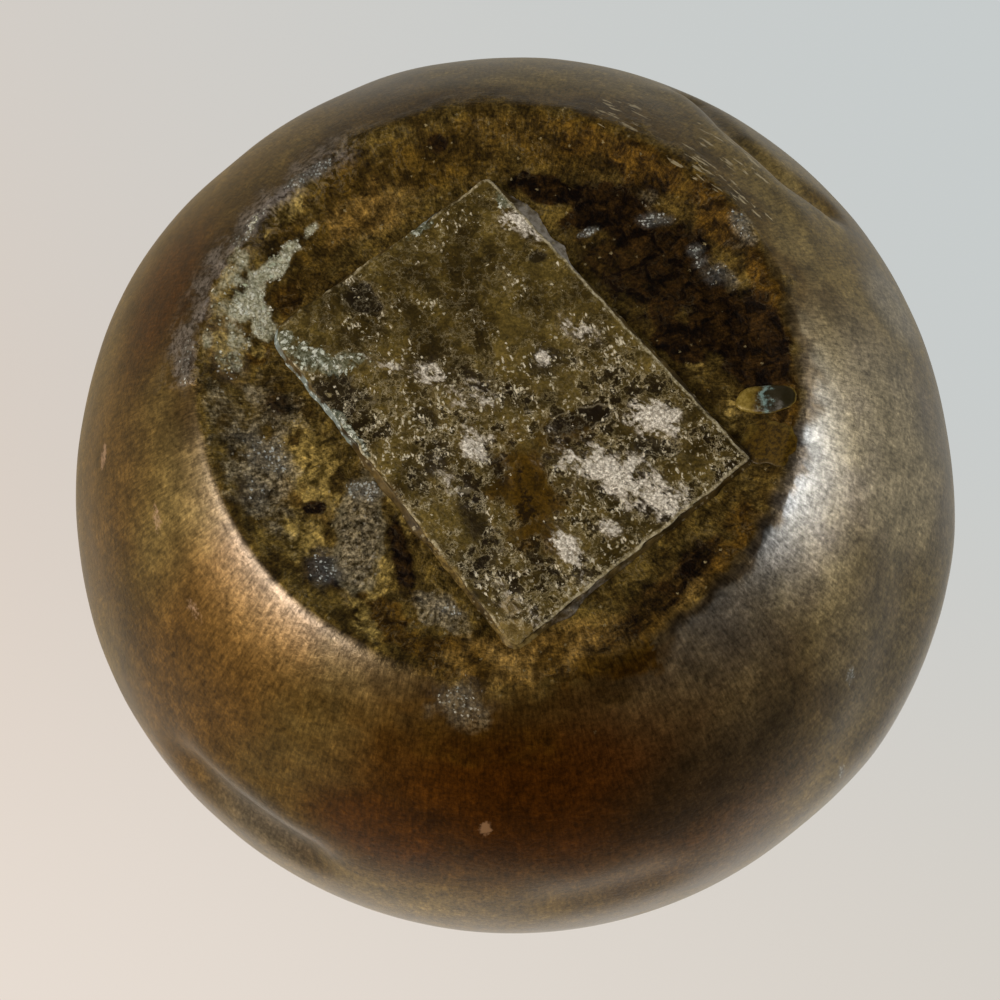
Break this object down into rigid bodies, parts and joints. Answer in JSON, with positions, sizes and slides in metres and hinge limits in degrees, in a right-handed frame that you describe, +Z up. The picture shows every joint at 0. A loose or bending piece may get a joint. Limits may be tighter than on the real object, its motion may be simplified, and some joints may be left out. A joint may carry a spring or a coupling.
{
  "type": "brass vase",
  "caption": "Globular sheet-brass vase with a flared neck, a wired lip and a dished bottom, to which a rectangular patch is soldered.",
  "frame": {"origin": "on the table under the vase's axis, when it stands on its foot", "axes": "+Z up along the vase's axis, from the foot to the mouth; +X towards the two solder drops in the dish"},
  "size_m": [0.126, 0.126, 0.1561],
  "materials": {
    "aged_brass": "satin, dark brown and olive patina",
    "patch_brass": "dull, pitted, with pale corrosion",
    "brazing_brass": "satin",
    "wire_brass": "satin",
    "soft_solder": "dull grey"
  },
  "bodies": {
    "root": {"lower_bowl": "aged_brass", "upper_bowl": "aged_brass", "belly_braze": "brazing_brass", "neck": "aged_brass", "neck_braze": "brazing_brass", "rim_wire": "wire_brass", "base_patch": "patch_brass", "patch_solder": "soft_solder", "solder_drop_long": "soft_solder", "solder_drop_round": "soft_solder"}
  },
  "joints": []
}
